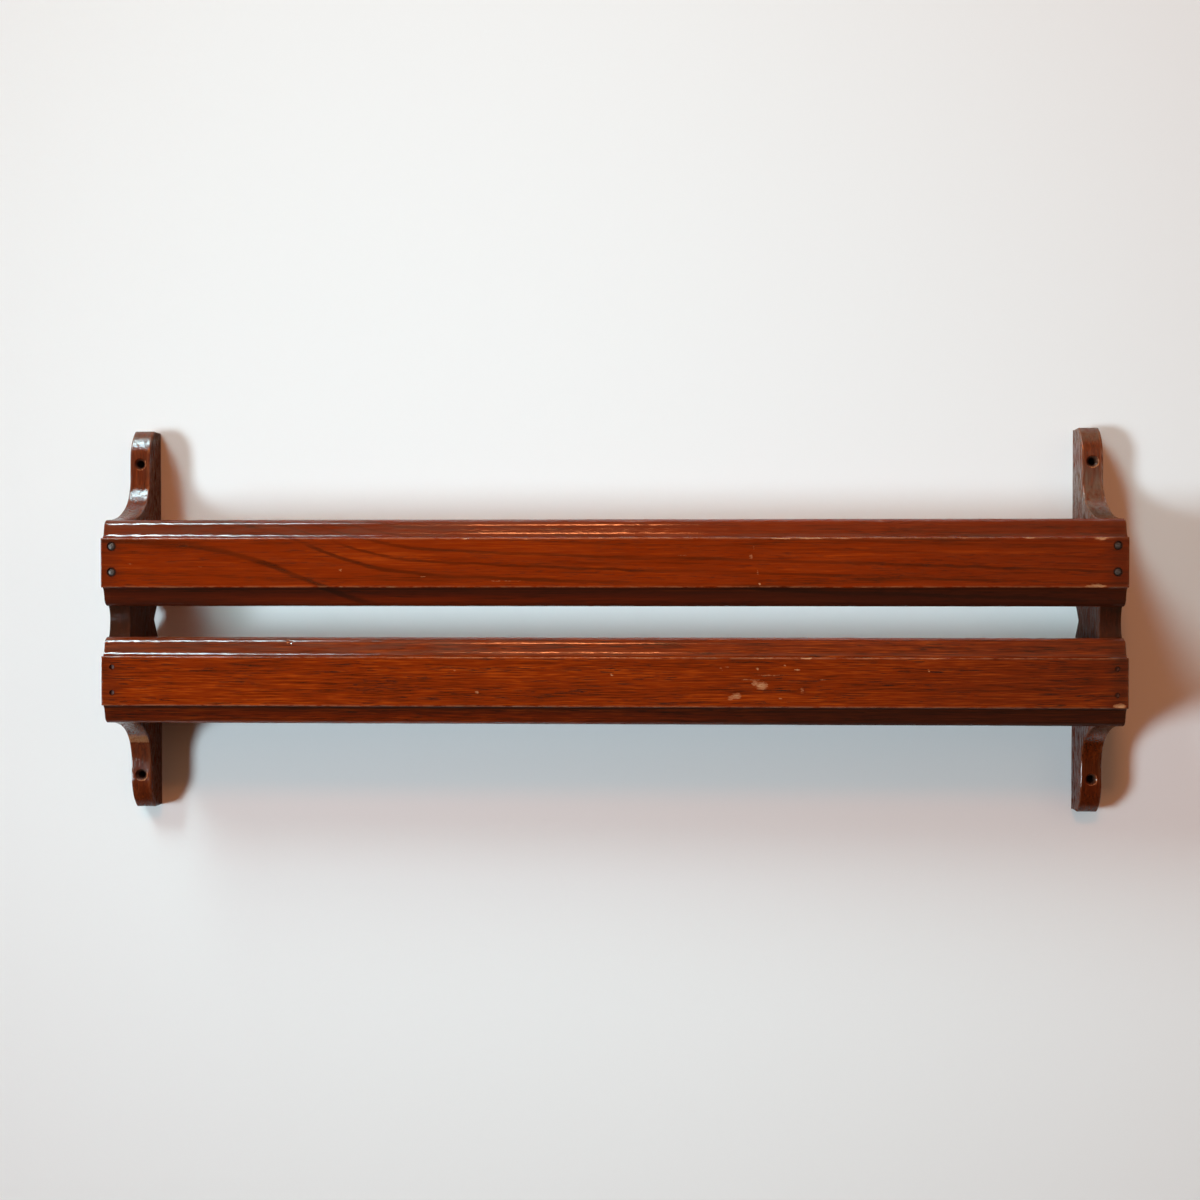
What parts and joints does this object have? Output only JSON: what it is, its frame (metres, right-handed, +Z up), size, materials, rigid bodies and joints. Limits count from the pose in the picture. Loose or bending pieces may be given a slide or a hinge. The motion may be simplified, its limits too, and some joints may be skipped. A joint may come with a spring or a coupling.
{
  "type": "wall plate rack",
  "caption": "Wall-hung wooden plate rack: moulded front rails over a plain board, between sawn side brackets with screw-hole lobes.",
  "frame": {"origin": "centre of the four wall screw holes, on the wall plane", "axes": "+X to the right along the rack, +Y into the wall, +Z up; the rack stands off the wall towards -Y"},
  "size_m": [0.6, 0.067, 0.237],
  "materials": {
    "bracket_wood": "red-brown stain under gloss varnish",
    "rail_wood": "red-brown stain under gloss varnish",
    "board_wood": "red-brown stain, thin varnish",
    "bright_nail": "dull steel",
    "sunk_nail": "dark, filled over"
  },
  "bodies": {
    "root": {"left_bracket": "bracket_wood", "right_bracket": "bracket_wood", "upper_rail": "rail_wood", "lower_rail": "rail_wood", "bottom_board": "board_wood", "upper_rail_nails": "bright_nail", "lower_rail_nails": "sunk_nail", "bottom_board_nails": "sunk_nail"}
  },
  "joints": []
}
